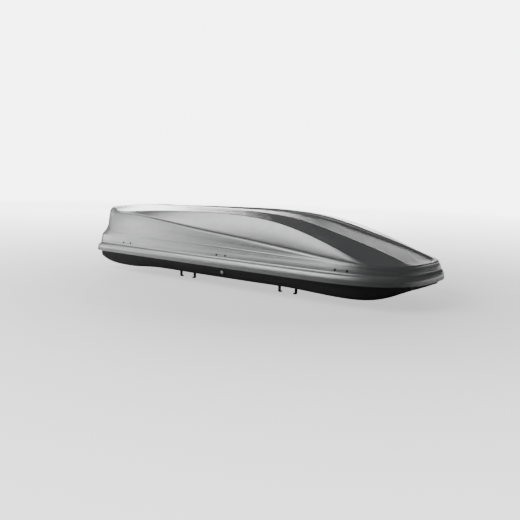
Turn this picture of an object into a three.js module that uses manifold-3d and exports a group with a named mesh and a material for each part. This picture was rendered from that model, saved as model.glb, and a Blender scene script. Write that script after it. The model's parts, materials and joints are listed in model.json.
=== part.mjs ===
// Roof cargo box with a lid that opens from either side.
// Millimetres, +Z up, +X towards the nose, +Y to the box's left.
// Origin: bottom centre of the whole box, level with the tips of the clamp claws.
// Parts are laid out about a datum on the tray's flat underside and moved together at the end.
import * as THREE from 'three';
import { mergeVertices } from 'three/addons/utils/BufferGeometryUtils.js';
import Module from 'manifold-3d';

const wasm = await Module();
wasm.setup();

// ---------------------------------------------------------------- section tables
// Drawn at a longer length than the box and scaled to it by toPart.
// Entries run from the rear centre round the left side to the nose centre.
// PLAN columns are [x, y]; the other lines are [x, y, z].
const PLAN = [
  [-998, 0], [-998, 172], [-994, 318], [-971, 371], [-920, 387], [-750, 390], [-500, 394],
  [-200, 396], [100, 396], [350, 396], [550, 395], [700, 386], [825, 358], [930, 295],
  [1007, 182], [1026, 0]];
// Distance inboard of PLAN, one value per entry: the lid's shelf and the tray wall.
const SHELF_INSET = [10, 10, 13, 19, 22, 22.5, 22.5, 22.5, 22.5, 22.5, 22.5, 21, 19, 19, 17, 17];
const TRAY_INSET = [18, 18, 18, 22, 33, 38, 38, 38, 38, 38, 38, 38, 36, 31, 26, 24];

// Lid, from the shelf up to the centre plane
const LOWER_LINE = [
  [-984, 0, 168], [-984, 165, 168], [-977, 300, 167], [-957, 345, 165], [-905, 358, 161],
  [-750, 360, 159], [-500, 362, 159], [-200, 364, 159], [100, 364, 159], [350, 364, 158],
  [550, 362, 158], [700, 354, 156], [812, 337, 149], [905, 284, 140], [987, 174, 133],
  [1004, 0, 132]];
const FACET_LINE = [
  [-980, 0, 214], [-980, 160, 214], [-971, 276, 213], [-951, 306, 211], [-900, 336, 206],
  [-750, 348, 205], [-500, 355, 201], [-200, 358, 192], [100, 359, 184], [350, 359, 177],
  [550, 358, 169], [700, 350, 163], [815, 335, 156], [905, 281, 146], [984, 172, 141],
  [1001, 0, 140]];
const GROOVE_LINE = [
  [-978, 0, 306], [-978, 155, 306], [-970, 262, 305], [-948, 290, 304], [-892, 299, 304],
  [-755, 319, 304], [-500, 338, 285], [-200, 346, 255], [100, 350, 232], [350, 351, 210],
  [550, 349, 190], [700, 343, 175], [818, 332, 164], [905, 277, 153], [980, 169, 149],
  [998, 0, 149]];
const SHOULDER_LINE = [
  [-972, 0, 331], [-971, 150, 331], [-962, 254, 328], [-936, 282, 322], [-880, 291, 309],
  [-750, 293, 314], [-500, 294, 333], [-200, 297, 343], [100, 303, 344], [350, 311, 317],
  [550, 319, 265], [700, 326, 215], [815, 325, 171], [902, 268, 164], [974, 160, 163],
  [994, 0, 163]];
const STRIP_LINE = [
  [-965, 0, 333.5], [-964, 78, 333.5], [-958, 133, 332], [-940, 150, 329], [-885, 158, 322.5],
  [-750, 170, 327.5], [-500, 190, 341], [-200, 216, 349], [100, 226, 349.5], [350, 230, 323.5],
  [550, 234, 274], [700, 238, 229.5], [814, 238, 192], [896, 209, 177.5], [965, 154, 165.5],
  [992, 0, 163.5]];
const CREST_LINE = [
  [-958, 0, 336], [-957, 6, 336], [-954, 12, 336], [-944, 19, 336], [-890, 26, 336],
  [-750, 47, 341], [-500, 86, 350], [-200, 134, 357], [100, 150, 359], [350, 150, 336],
  [550, 150, 290], [700, 150, 250], [812, 150, 217], [890, 150, 192], [956, 148, 168],
  [990, 0, 164]];
const CHANNEL_LINE = [
  [-946, 0, 334], [-945, 4, 334], [-942, 8, 334], [-932, 12, 334], [-882, 18, 333],
  [-750, 37, 337], [-500, 74, 345], [-200, 121, 348], [100, 137, 347], [350, 137, 321],
  [550, 137, 275], [700, 137, 237], [812, 137, 208], [886, 137, 185], [946, 136, 164],
  [979, 0, 161]];
const CENTRE_LINE = [
  [-932, 0, 333], [-928, 0, 333], [-922, 0, 333], [-910, 0, 333], [-865, 0, 333],
  [-750, 0, 338], [-500, 0, 346], [-200, 0, 349], [100, 0, 348], [350, 0, 322],
  [550, 0, 276], [700, 0, 238], [806, 0, 211], [872, 0, 190], [925, 0, 173], [962, 0, 163]];

// Base, from the foot of the tray wall in to the centre plane
const BOTTOM_EDGE = [
  [-955, 0, 22], [-955, 165, 22], [-948, 290, 22], [-922, 322, 18], [-868, 316, -4],
  [-745, 304, -13], [-525, 300, 0], [-200, 300, 0], [100, 300, 0], [425, 300, 0],
  [560, 297, -7], [700, 286, -14], [815, 262, -12], [905, 218, 10], [962, 130, 40],
  [978, 0, 46]];
const KEEL_LINE = [
  [-930, 0, 12], [-930, 115, 12], [-920, 200, 10], [-885, 225, 4], [-835, 222, -10],
  [-728, 210, -14], [-525, 205, 0], [-200, 205, 0], [100, 205, 0], [425, 205, 0],
  [555, 202, -15], [690, 192, -20], [795, 172, -19], [868, 138, -4], [922, 80, 22],
  [940, 0, 30]];
const KEEL_CENTRE = [
  [-900, 0, 6], [-896, 0, 5], [-886, 0, 3], [-855, 0, -4], [-805, 0, -12], [-718, 0, -14],
  [-525, 0, 0], [-200, 0, 0], [100, 0, 0], [425, 0, 0], [550, 0, -15], [680, 0, -20],
  [770, 0, -19], [830, 0, -8], [872, 0, 10], [895, 0, 20]];

// Heights in table units
const SKIRT_Z = 70;                    // lid skirt's lower edge
const SKIRT_TOP_Z = SKIRT_Z + 41;
const RIM_Z = 96;                      // top of the tray wall
const WALL_FOOT_Z = 66;                // foot of its upright part
const CHINE_Z = 38;                    // lowest the chine may run
const DATUM_X = 23;                    // table x of the datum

// ---------------------------------------------------------------- shared dimensions
const LENGTH = 1978;                   // overall
const TABLE_SCALE = LENGTH / (PLAN.at(-1)[0] - PLAN[0][0]);
const SHELL_T = 3.9;                   // lid and base wall
const PIVOT_Y = 358;                   // side pivot axes, both sides
const PIVOT_Z = 81;
const PIN_R = 4;                       // hinge pin
const LOCK_X = -22.5;
const LOCK_Z = 40;
const BRACKET_PITCH = 698.5;
const BRACKET_X = [-1, 0, 1].map((step) => LOCK_X + step * BRACKET_PITCH);
const TONGUE_X = BRACKET_X.map((x) => x - 20);   // hinge tongues sit behind their rivets
const RIVET_PITCH = 58;
const RIVET_Z = 129;
const ARM_X = [-850, 560];             // lifter arm pairs
const ARM_T = 12;                      // along x
const ARM_H = 12;
const ROOF_BAR_X = [-370, 305];        // clamp rows
const CLAMP_Y = 225;
const SLOT_HALF_X = 57.5;              // clamp opening in the base and load plate
const SLOT_HALF_Y = 12.5;
const LOAD_HALF_Y = 272;               // load plates and straps

// ---------------------------------------------------------------- line helpers
const about = (centre, half) => [centre - half, centre + half];
const toPart = (row) => row.map((p) => [
  (p[0] - DATUM_X) * TABLE_SCALE, p[1] * TABLE_SCALE, p[2] * TABLE_SCALE]);

// Adds a point halfway along each table interval: smooth in plan, straight in height.
function withMidpoints(row) {
  const points = row.map(([x, y]) => new THREE.Vector3(x, y, 0));
  const mirrored = ([x, y]) => new THREE.Vector3(x, -y, 0);
  const onCentre = row.every(([, y]) => y === 0);
  const controls = onCentre ? points : [mirrored(row[1]), ...points, mirrored(row.at(-2))];
  const first = onCentre ? 0 : 1;
  const curve = new THREE.CatmullRomCurve3(controls, false, 'centripetal');
  return row.flatMap((p, i) => {
    if (i === row.length - 1) return [p];
    const mid = curve.getPoint((i + first + 0.5) / (controls.length - 1));
    return [p, [mid.x, mid.y, (p[2] + row[i + 1][2]) / 2]];
  });
}

// Plan line moved inboard, by one distance or one per point, and set at height z.
function inset(row, distance, z) {
  const mirrored = ([x, y]) => [x, -y];
  return row.map(([x, y], i) => {
    const before = i > 0 ? row[i - 1] : mirrored(row[1]);
    const after = i < row.length - 1 ? row[i + 1] : mirrored(row.at(-2));
    const dx = after[0] - before[0];
    const dy = after[1] - before[1];
    const span = Math.hypot(dx, dy);
    const d = Array.isArray(distance) ? distance[i] : distance;
    return [x + (dy / span) * d, y - (dx / span) * d, z];
  });
}

// [y, z] of a row where its left side passes x.
function rowAt(row, x) {
  for (let i = 1; i < row.length; i++) {
    const [x0, y0, z0] = row[i - 1];
    const [x1, y1, z1] = row[i];
    if (y1 > 200 && x0 <= x && x <= x1) {
      const f = (x - x0) / (x1 - x0);
      return [y0 + f * (y1 - y0), z0 + f * (z1 - z0)];
    }
  }
  throw new Error('outside the side');
}

// One closed shell from half rings, the first an open edge and the last on the centre plane.
// The rows give the outside; the wall is laid inwards by the vertex normals.
function shell(rows, thickness) {
  const outer = [];
  const addPoint = (x, y, z) => outer.push(new THREE.Vector3(x, y, z)) - 1;
  const rings = rows.map((row, r) => {
    const left = row.map((p) => addPoint(...p));
    const right = [];
    for (let i = row.length - 2; i > 0; i--) {
      const [x, y, z] = row[i];
      right.push(r === rows.length - 1 ? left[i] : addPoint(x, -y, z));
    }
    return [...left, ...right];
  });
  const count = rings[0].length;
  const tris = [];
  for (let r = 0; r < rings.length - 1; r++) {
    for (let i = 0; i < count; i++) {
      const j = (i + 1) % count;
      const [a, b, c, d] = [rings[r][i], rings[r][j], rings[r + 1][j], rings[r + 1][i]];
      tris.push([a, b, c], [a, c, d]);
    }
  }

  const normals = outer.map(() => new THREE.Vector3());
  for (const tri of tris) {
    const [a, b, c] = tri.map((i) => outer[i]);
    const face = b.clone().sub(a).cross(c.clone().sub(a));
    tri.forEach((i) => normals[i].add(face));
  }
  for (const i of rings[0]) normals[i].z = 0;      // keeps the open edge flat

  // Rings run clockwise from above, so the faces point inwards where the rows rise.
  const rising = rows[1][0][2] > rows[0][0][2];
  const step = rising ? thickness : -thickness;
  const inner = outer.map((p, i) => p.clone().addScaledVector(normals[i].normalize(), step));

  const toInner = outer.length;
  const closed = tris.flatMap(([a, b, c]) => [
    [a, b, c], [a + toInner, c + toInner, b + toInner]]);
  for (let i = 0; i < count; i++) {
    const a = rings[0][i];
    const b = rings[0][(i + 1) % count];
    closed.push([b, a, a + toInner], [b, a + toInner, b + toInner]);
  }
  const geometry = new THREE.BufferGeometry();
  const positions = [...outer, ...inner].flatMap((p) => p.toArray());
  geometry.setAttribute('position', new THREE.Float32BufferAttribute(positions, 3));
  geometry.setIndex(closed.flatMap(([a, b, c]) => (rising ? [a, c, b] : [a, b, c])));
  return geometry;
}

// ---------------------------------------------------------------- solid helpers
function toSolid(geometry) {
  const bare = geometry.clone();
  bare.deleteAttribute('normal');
  bare.deleteAttribute('uv');
  const merged = mergeVertices(bare, 1e-4);
  return new wasm.Manifold(new wasm.Mesh({
    numProp: 3,
    vertProperties: new Float32Array(merged.attributes.position.array),
    triVerts: new Uint32Array(merged.index.array),
  }));
}

function toGeometry(manifold) {
  const mesh = manifold.getMesh();
  const geometry = new THREE.BufferGeometry();
  const positions = new Float32Array(mesh.vertProperties);
  geometry.setAttribute('position', new THREE.BufferAttribute(positions, 3));
  geometry.setIndex(Array.from(mesh.triVerts));
  return geometry;
}

const fuse = (...pieces) => toGeometry(pieces.map(toSolid).reduce((a, b) => a.add(b)));
const cut = (body, ...tools) => toGeometry(
  tools.reduce((left, tool) => left.subtract(toSolid(tool)), toSolid(body)));

const box = (x0, x1, y0, y1, z0, z1) => new THREE.BoxGeometry(x1 - x0, y1 - y0, z1 - z0)
  .translate((x0 + x1) / 2, (y0 + y1) / 2, (z0 + z1) / 2);

// Cylinders along an axis; endRadius is the radius at the higher end.
const cylX = (radius, x0, x1, y, z, segments) => (
  new THREE.CylinderGeometry(radius, radius, x1 - x0, segments)
    .rotateZ(-Math.PI / 2).translate((x0 + x1) / 2, y, z));
const cylY = (radius, y0, y1, x, z, segments, endRadius = radius) => (
  new THREE.CylinderGeometry(endRadius, radius, y1 - y0, segments)
    .translate(x, (y0 + y1) / 2, z));
const cylZ = (radius, z0, z1, x, y, segments, endRadius = radius) => (
  new THREE.CylinderGeometry(endRadius, radius, z1 - z0, segments)
    .rotateX(Math.PI / 2).translate(x, y, (z0 + z1) / 2));
const onPivot = (radius, x0, x1, segments) => cylX(radius, x0, x1, PIVOT_Y, PIVOT_Z, segments);

const extrude = (points, depth) => new THREE.ExtrudeGeometry(
  new THREE.Shape(points.map(([u, v]) => new THREE.Vector2(u, v))),
  { depth, bevelEnabled: false, steps: 1 });
// (x, z) outline extruded along y
const prismXZ = (points, y0, y1) => extrude(points, y1 - y0)
  .rotateX(Math.PI / 2).translate(0, y1, 0);
// (y, z) outline extruded along x
function prismYZ(points, x0, x1) {
  const axes = new THREE.Matrix4().makeBasis(
    new THREE.Vector3(0, 1, 0), new THREE.Vector3(0, 0, 1), new THREE.Vector3(1, 0, 0));
  return extrude(points, x1 - x0).applyMatrix4(axes).translate(x0, 0, 0);
}

// Mirrors an indexed geometry to the other side, faces turned back out.
function mirrorY(geometry) {
  const mirrored = geometry.clone().scale(1, -1, 1);
  const index = mirrored.index.array;
  for (let i = 0; i < index.length; i += 3) {
    [index[i + 1], index[i + 2]] = [index[i + 2], index[i + 1]];
  }
  return mirrored;
}
const bothSides = (...pieces) => pieces.flatMap((piece) => [piece, mirrorY(piece)]);

// ---------------------------------------------------------------- group and materials
const part = new THREE.Group();
const FINISH = {
  lid: { color: 0x9a9da0, roughness: 0.5, metalness: 0.05 },
  base: { color: 0x1b1c1e, roughness: 0.7, metalness: 0 },
  steel: { color: 0x8d9095, roughness: 0.4, metalness: 0.9 },
  dark: { color: 0x26282b, roughness: 0.6, metalness: 0.1 },
  rubber: { color: 0x141414, roughness: 0.9, metalness: 0 },
  red: { color: 0x9c1f1c, roughness: 0.5, metalness: 0 },
  webbing: { color: 0x1c1d20, roughness: 0.95, metalness: 0 },
  chrome: { color: 0xc9ccd0, roughness: 0.2, metalness: 1 },
};
function add(name, geometry, finish) {
  const mesh = new THREE.Mesh(geometry, new THREE.MeshStandardMaterial(FINISH[finish]));
  mesh.name = name;
  part.add(mesh);
}

// ---------------------------------------------------------------- shell rows
function makeLidRows() {
  const skirt = withMidpoints(PLAN.map(([x, y]) => [x, y, SKIRT_Z]));
  const shelfInset = SHELF_INSET.flatMap((d, i) => (
    i ? [(SHELF_INSET[i - 1] + d) / 2, d] : [d]));
  const upper = [LOWER_LINE, FACET_LINE, GROOVE_LINE, SHOULDER_LINE, STRIP_LINE, CREST_LINE,
    CHANNEL_LINE, CENTRE_LINE];
  return [
    skirt,
    inset(skirt, 1, SKIRT_TOP_Z - 18),
    inset(skirt, 8, SKIRT_TOP_Z - 1.5),
    inset(skirt, shelfInset, SKIRT_TOP_Z + 6),
    ...upper.map(withMidpoints),
  ].map(toPart);
}

function makeBaseRows() {
  const rim = inset(PLAN, TRAY_INSET, RIM_Z);
  const chine = inset(PLAN, TRAY_INSET.map((d) => d + 2), CHINE_Z)
    .map(([x, y, z], i) => [x, y, Math.max(z, BOTTOM_EDGE[i][2] + 7)]);
  // rounds the turn from chine to bottom edge: nearer the edge in height than in plan
  const bilge = chine.map((p, i) => [0.42, 0.42, 0.76].map(
    (share, axis) => p[axis] + (BOTTOM_EDGE[i][axis] - p[axis]) * share));
  return [
    rim,
    rim.map(([x, y]) => [x, y, WALL_FOOT_Z]),
    chine,
    bilge,
    BOTTOM_EDGE,
    KEEL_LINE,
    KEEL_CENTRE,
  ].map(toPart);
}

const lidRows = makeLidRows();
const baseRows = makeBaseRows();
const wallY = (x) => rowAt(baseRows[0], x)[0];   // outside of the left tray wall

// Outside of the lid's left side, between the shelf and LOWER_LINE.
function sideY(x, z) {
  const [shelfY, shelfZ] = rowAt(lidRows[3], x);
  const [lowerY, lowerZ] = rowAt(lidRows[4], x);
  return shelfY + ((z - shelfZ) / (lowerZ - shelfZ)) * (lowerY - shelfY);
}

// Frame on that surface at rivet height: x along it, y outwards, z up it.
function rivetFrame(x) {
  const at = (dx, dz) => new THREE.Vector3(
    x + dx, sideY(x + dx, RIVET_Z + dz), RIVET_Z + dz);
  const along = at(40, 0).sub(at(-40, 0)).normalize();
  const rise = at(0, 10).sub(at(0, 0));
  const outward = new THREE.Vector3().crossVectors(rise, along).normalize();
  const up = new THREE.Vector3().crossVectors(along, outward).normalize();
  return new THREE.Matrix4().makeBasis(along, outward, up).setPosition(at(0, 0));
}
const rivetPair = (make) => [-1, 1].map((end) => make((end * RIVET_PITCH) / 2));

// ---------------------------------------------------------------- lid shell
function makeLid() {
  const holes = BRACKET_X.flatMap((x) => rivetPair(
    (dx) => cylY(3.3, -14, 8, dx, 0, 8).applyMatrix4(rivetFrame(x))));
  return cut(shell(lidRows, SHELL_T), ...bothSides(...holes));
}
add('lid_shell', makeLid(), 'lid');

// ---------------------------------------------------------------- base shell
const SADDLE_SPANS = [[-19, -12], [13, 24]];   // x from the hinge tongue
const SADDLE_R = 8;

function makeBase() {
  const saddles = [];     // moulded rests for the lid's pins
  const saddleCuts = [];  // their bores, open at the top
  const boreR = PIN_R + 0.5;
  for (const x of TONGUE_X) {
    for (const [from, to] of SADDLE_SPANS) {
      const x0 = x + from;
      const x1 = x + to;
      const rootY = Math.min(wallY(x0), wallY(x1)) - 2;
      saddles.push(...bothSides(fuse(
        onPivot(SADDLE_R, x0, x1, 12),
        box(x0, x1, rootY, PIVOT_Y, PIVOT_Z - 7.5, PIVOT_Z + 4),
      )));
      saddleCuts.push(...bothSides(
        onPivot(boreR, x0 - 0.5, x1 + 0.5, 10),
        box(x0 - 0.5, x1 + 0.5, ...about(PIVOT_Y, boreR), PIVOT_Z, PIVOT_Z + 12),
      ));
    }
  }
  const armNotches = ARM_X.map((x) => (
    box(...about(x, ARM_T + 6), ...about(0, 420), PIVOT_Z - ARM_H / 2 - 4, 120)));
  const lockBarSlots = TONGUE_X.map((x) => box(x - 56, x - 20, 300, 352, ...about(PIVOT_Z, 5)));
  const lockHole = cylY(13.4, 328, 360, LOCK_X, LOCK_Z, 16);
  const clampOpenings = ROOF_BAR_X.flatMap((x) => [-CLAMP_Y, CLAMP_Y].map(
    (y) => box(...about(x, SLOT_HALF_X), ...about(y, SLOT_HALF_Y), -12, 12)));
  return cut(
    fuse(shell(baseRows, SHELL_T), ...saddles),
    ...armNotches, ...bothSides(...lockBarSlots, lockHole), ...clampOpenings, ...saddleCuts,
  );
}
add('base_shell', makeBase(), 'base');

// ---------------------------------------------------------------- hinge brackets, rivet strips
const HINGES = [   // gap: between the lid's inside and the bracket plate
  { end: 'rear', gap: 0.9 },
  { end: 'mid', gap: 0.9 },
  { end: 'front', gap: 2.4 },
];
const PLATE_T = 3;
const STRIP_T = 2;

function makeBracket(tongueX, plateY, frame) {
  const plate = new THREE.BoxGeometry(84, PLATE_T, 22)
    .translate(0, plateY - PLATE_T / 2, 0).applyMatrix4(frame);
  const topY = sideY(tongueX, 122) - SHELL_T - 1.4;
  // (y, z): from the plate out and down to the pin, and back up
  const tongue = prismYZ([
    [topY - 4, 118.5], [topY - 4, 108], [PIVOT_Y - 4, 92], [PIVOT_Y - 4, PIVOT_Z],
    [PIVOT_Y + 4, PIVOT_Z], [PIVOT_Y + 4, 94], [topY - 0.8, 106], [topY - 1.2, 118.5],
  ], ...about(tongueX, 8));
  const pin = onPivot(PIN_R, tongueX - 38, tongueX + 26, 8);
  const holes = rivetPair((dx) => cylY(3.4, -20, 2, dx, 0, 8).applyMatrix4(frame));
  return cut(fuse(plate, tongue, pin), ...holes);
}

// Inner strip with its two rivets, heads outside the lid.
function makeRivetStrip(plateY, frame) {
  const stripY = plateY - PLATE_T - 0.4 - STRIP_T / 2;
  return fuse(
    new THREE.BoxGeometry(RIVET_PITCH + 16, STRIP_T, 11).translate(0, stripY, 0),
    ...rivetPair((dx) => [
      cylY(2.8, plateY - 4, 1, dx, 0, 8),
      cylY(5.8, 0.5, 2.4, dx, 0, 12, 4.6),
    ]).flat(),
  ).applyMatrix4(frame);
}

HINGES.forEach(({ end, gap }, i) => {
  const frame = rivetFrame(BRACKET_X[i]);
  const plateY = -SHELL_T - gap;
  const bracket = makeBracket(TONGUE_X[i], plateY, frame);
  const strip = makeRivetStrip(plateY, frame);
  add(`hinge_bracket_left_${end}`, bracket, 'steel');
  add(`hinge_bracket_right_${end}`, mirrorY(bracket), 'steel');
  add(`rivet_strip_left_${end}`, strip, 'dark');
  add(`rivet_strip_right_${end}`, mirrorY(strip), 'dark');
});

// ---------------------------------------------------------------- lifter arms, hubs, lid pivots
const ARM_NEAR = 2;                    // arm's inner face from the pair's centre
const ARM_FAR = ARM_NEAR + ARM_T;
const MOUNT_NEAR = ARM_FAR + 1.5;      // hub and pivot bodies start clear of the arm
const ARM_PIN = [1.5, ARM_FAR + 4];    // pin ends from the pair's centre
const ARM_PIN_R = 3.1;

function makeArm(x0, x1) {
  const ends = (radius, from, to, segments) => [PIVOT_Y, -PIVOT_Y].map(
    (y) => cylX(radius, from, to, y, PIVOT_Z, segments));
  const beam = box(x0, x1, ...about(0, PIVOT_Y), ...about(PIVOT_Z, ARM_H / 2));
  return cut(fuse(beam, ...ends(7.2, x0, x1, 12)), ...ends(3.7, x0 - 1, x1 + 1, 8));
}

// Mounted on the base: spring drum and the arm's pin.
const makeHub = ([x0, x1], pin) => fuse(
  box(x0, x1, Math.max(wallY(x0), wallY(x1)) + 0.5, PIVOT_Y, PIVOT_Z - 8, PIVOT_Z + 6),
  onPivot(8, x0, x1, 12),
  onPivot(ARM_PIN_R, ...pin, 8),
);

// Mounted on the lid, at the free end of each arm.
const PIVOT_POST_TOP = 98;
const makePivot = ([x0, x1], pin) => fuse(
  box(x0, x1, ...about(PIVOT_Y, 6), PIVOT_Z, PIVOT_POST_TOP),
  box(x0 - 4, x1 + 4, PIVOT_Y - 12, PIVOT_Y + 7, PIVOT_POST_TOP, PIVOT_POST_TOP + 3.5),
  onPivot(6, x0, x1, 12),
  onPivot(ARM_PIN_R, ...pin, 8),
);

ARM_X.forEach((x, i) => {
  const end = i ? 'front' : 'rear';
  const behind = (near, far) => [x - far, x - near];
  const ahead = (near, far) => [x + near, x + far];
  add(`lifter_arm_left_${end}`, makeArm(...behind(ARM_NEAR, ARM_FAR)), 'dark');
  add(`lifter_arm_right_${end}`, makeArm(...ahead(ARM_NEAR, ARM_FAR)), 'dark');
  // each side carries the hub of its own arm and the lid pivot of the other
  const hub = (span) => makeHub(span(MOUNT_NEAR, ARM_FAR + 18), span(...ARM_PIN));
  const pivot = (span) => makePivot(span(MOUNT_NEAR, ARM_FAR + 13), span(...ARM_PIN));
  add(`spring_hub_left_${end}`, hub(behind), 'dark');
  add(`spring_hub_right_${end}`, mirrorY(hub(ahead)), 'dark');
  add(`lid_pivot_left_${end}`, pivot(ahead), 'steel');
  add(`lid_pivot_right_${end}`, mirrorY(pivot(behind)), 'steel');
});

// ---------------------------------------------------------------- locks, drawn on the left
const RAIL_X = [-812, 690];
const RAIL_OUTER_Y = 327.4;
const RAIL_Z = 53;                     // underside
const STANDOFF_X = [TONGUE_X[0] + 40, LOCK_X + 70, TONGUE_X[2] - 90];
const LOCK_BAR_Y = [317.5, 323.5];

function makeLockRail() {
  const standoffs = STANDOFF_X.map((x) => {
    const [x0, x1] = about(x, 10);
    return box(x0, x1, 326, Math.min(wallY(x0), wallY(x1)) - SHELL_T - 1.2, 56, 70);
  });
  return fuse(
    box(...RAIL_X, 325.2, RAIL_OUTER_Y, RAIL_Z, 72),
    box(...RAIL_X, 315.5, RAIL_OUTER_Y, RAIL_Z, RAIL_Z + 2),
    ...standoffs,
  );
}

// Sliding bar with a sleeve reaching out to each hinge pin.
function makeLockBar() {
  const sleeves = TONGUE_X.flatMap((x) => {
    const [x0, x1] = about(x - 47, 7);
    return [
      box(x0 + 1, x1 - 1, ...LOCK_BAR_Y, 60, PIVOT_Z + 4),
      box(x0 + 1, x1 - 1, LOCK_BAR_Y[0], PIVOT_Y - 5.5, ...about(PIVOT_Z, 4)),
      onPivot(7.6, x0, x1, 12),
    ];
  });
  const bores = TONGUE_X.map((x) => onPivot(PIN_R + 0.6, x - 56, x - 38, 8));
  return cut(fuse(
    box(-805, 640, ...LOCK_BAR_Y, 56, 69),
    box(...about(LOCK_X, 12), 309.5, 318, 58, 66),
    ...sleeves,
  ), ...bores);
}

const makeLockHousing = () => cut(
  fuse(
    box(...about(LOCK_X, 28), 320, 331, LOCK_Z - 16, LOCK_Z + 12.4),
    cylY(12.9, 330, 349.4, LOCK_X, LOCK_Z, 16, 11.9),
  ),
  cylY(9.4, 310, 360, LOCK_X, LOCK_Z, 16),
);

// Key cylinder with an upright tab inside and a key slot outside.
const makeLockCylinder = () => cut(
  fuse(
    cylY(9, 312, 350, LOCK_X, LOCK_Z, 16),
    box(...about(LOCK_X, 5), 309.8, 313.8, LOCK_Z - 3, LOCK_Z + 15.5),
  ),
  box(...about(LOCK_X, 4.6), 346, 352, ...about(LOCK_Z, 1)),
);

for (const [side, place] of [['left', (piece) => piece], ['right', mirrorY]]) {
  add(`lock_rail_${side}`, place(makeLockRail()), 'steel');
  add(`lock_bar_${side}`, place(makeLockBar()), 'steel');
  add(`lock_housing_${side}`, place(makeLockHousing()), 'dark');
  add(`lock_cylinder_${side}`, place(makeLockCylinder()), 'chrome');
}

// ---------------------------------------------------------------- bar clamps
const PLATE_HALF_X = 68;
const LIP_T = 2.5;
const PLATE_Z = 4.3;                   // underside of the load plate
const PLATE_TOP_Z = 11;                // top of its rib and lips
const JAW_PIVOT_X = 50;                // each side of the clamp centre
const JAW_PIVOT_Z = -5.8;
const CLAW_HALF_T = 5.8;
// Front claw, [x from the clamp centre, z]: down beside the bar seat and in under the bar.
const CLAW = [
  [45.4, JAW_PIVOT_Z], [45.4, -33], [36, -35.5], [36, -40], [50, -42], [55, -36],
  [54.8, JAW_PIVOT_Z]];

function makeLoadPlate(x) {
  const lipInner = PLATE_HALF_X - LIP_T;
  const y = about(0, LOAD_HALF_Y);
  const slots = [-CLAMP_Y, CLAMP_Y].map(
    (slotY) => box(...about(x, SLOT_HALF_X), ...about(slotY, SLOT_HALF_Y), 0, 12));
  return cut(fuse(
    box(...about(x, PLATE_HALF_X), ...y, PLATE_Z, PLATE_Z + 2),
    box(...about(x, 6), ...about(0, 190), 6.2, PLATE_TOP_Z),
    box(x - PLATE_HALF_X, x - lipInner, ...y, PLATE_Z, PLATE_TOP_Z),
    box(x + lipInner, x + PLATE_HALF_X, ...y, PLATE_Z, PLATE_TOP_Z),
  ), ...slots);
}

function makeClampHousing(x, y) {
  const pivots = [x - JAW_PIVOT_X, x + JAW_PIVOT_X];
  const ears = pivots.flatMap((pivotX) => [-8.6, 8.6].map(
    (dy) => box(...about(pivotX, 6), ...about(y + dy, 2.4), -11, 1)));
  const bores = pivots.map((pivotX) => cylY(3.5, ...about(y, 13), pivotX, JAW_PIVOT_Z, 8));
  return cut(fuse(
    box(...about(x, 56.5), ...about(y, 11), 0, 8),
    box(...about(x, 62), ...about(y, 25), 6.8, 22),
    cylZ(21, 21, 28, x, y, 12, 19),
    ...ears,
  ), ...bores, cylZ(8.6, 16, 30, x, y, 10));
}

function makeKnob(x, y) {
  const lobeReach = 19;
  const lobes = [0, 1, 2].map((i) => {
    const angle = (i * 2 * Math.PI) / 3;
    const lobeX = x + lobeReach * Math.cos(angle);
    const lobeY = y + lobeReach * Math.sin(angle);
    return cylZ(9, 30, 44, lobeX, lobeY, 8, 7.5);
  });
  return fuse(cylZ(8, 18, 32, x, y, 10), cylZ(22, 28.6, 42, x, y, 12, 20), ...lobes);
}

// facing: 1 for the front jaw, -1 for the rear
function makeJaw(x, y, facing) {
  const outline = CLAW.map(([dx, z]) => [x + facing * dx, z]);
  if (facing > 0) outline.reverse();   // both jaws wound the same way
  const pivotX = x + facing * JAW_PIVOT_X;
  return fuse(
    prismXZ(outline, ...about(y, CLAW_HALF_T)),
    cylY(5.4, ...about(y, CLAW_HALF_T), pivotX, JAW_PIVOT_Z, 10),
    cylY(2.9, ...about(y, 10.8), pivotX, JAW_PIVOT_Z, 8),
  );
}

ROOF_BAR_X.forEach((x, i) => {
  const end = i ? 'front' : 'rear';
  add(`load_plate_${end}`, makeLoadPlate(x), 'steel');
  for (const [side, y] of [['right', -CLAMP_Y], ['left', CLAMP_Y]]) {
    const tag = `${side}_${end}`;
    add(`clamp_housing_${tag}`, makeClampHousing(x, y), 'dark');
    add(`clamp_knob_${tag}`, makeKnob(x, y), 'red');
    add(`clamp_jaw_front_${tag}`, makeJaw(x, y, 1), 'steel');
    add(`clamp_jaw_rear_${tag}`, makeJaw(x, y, -1), 'steel');
    add(`bar_pad_${tag}`, box(...about(x, 34), ...about(y, 16), -5, -0.4), 'rubber');
  }
});

// ---------------------------------------------------------------- luggage straps
const STRAP_X = [-200, 130];
const STRAP_HALF_X = 12.5;

const makeStrap = (x) => box(...about(x, STRAP_HALF_X), ...about(0, LOAD_HALF_Y), 4.6, 6.2);
const makeBuckle = (x) => cut(
  box(...about(x, 17), ...about(0, 24), 6.6, 15),
  ...[-10.5, 10.5].map((y) => box(...about(x, STRAP_HALF_X), ...about(y, 4.5), 5, 16)),
);

STRAP_X.forEach((x, i) => {
  const end = i ? 'front' : 'rear';
  add(`load_strap_${end}`, makeStrap(x), 'webbing');
  add(`strap_buckle_${end}`, makeBuckle(x), 'dark');
});

// ---------------------------------------------------------------- origin to the bottom centre
const extent = new THREE.Box3().setFromObject(part);
const middle = extent.getCenter(new THREE.Vector3());
part.position.set(-middle.x, -middle.y, -extent.min.z);

export default part;
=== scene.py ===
"""Looks of a roof cargo box: lid and tray shells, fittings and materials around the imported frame.

The box lies along x with its low, pointed nose towards +x. Its left side is +y, and z is up.
Pieces are drawn in a working frame (metres, z = 0 on the flat of the tray's underside) and
moved into the product's frame by SHIFT.
"""
import json
import math
from collections import namedtuple

import bmesh
import bpy
import numpy as np
from mathutils import Matrix, Vector


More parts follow.
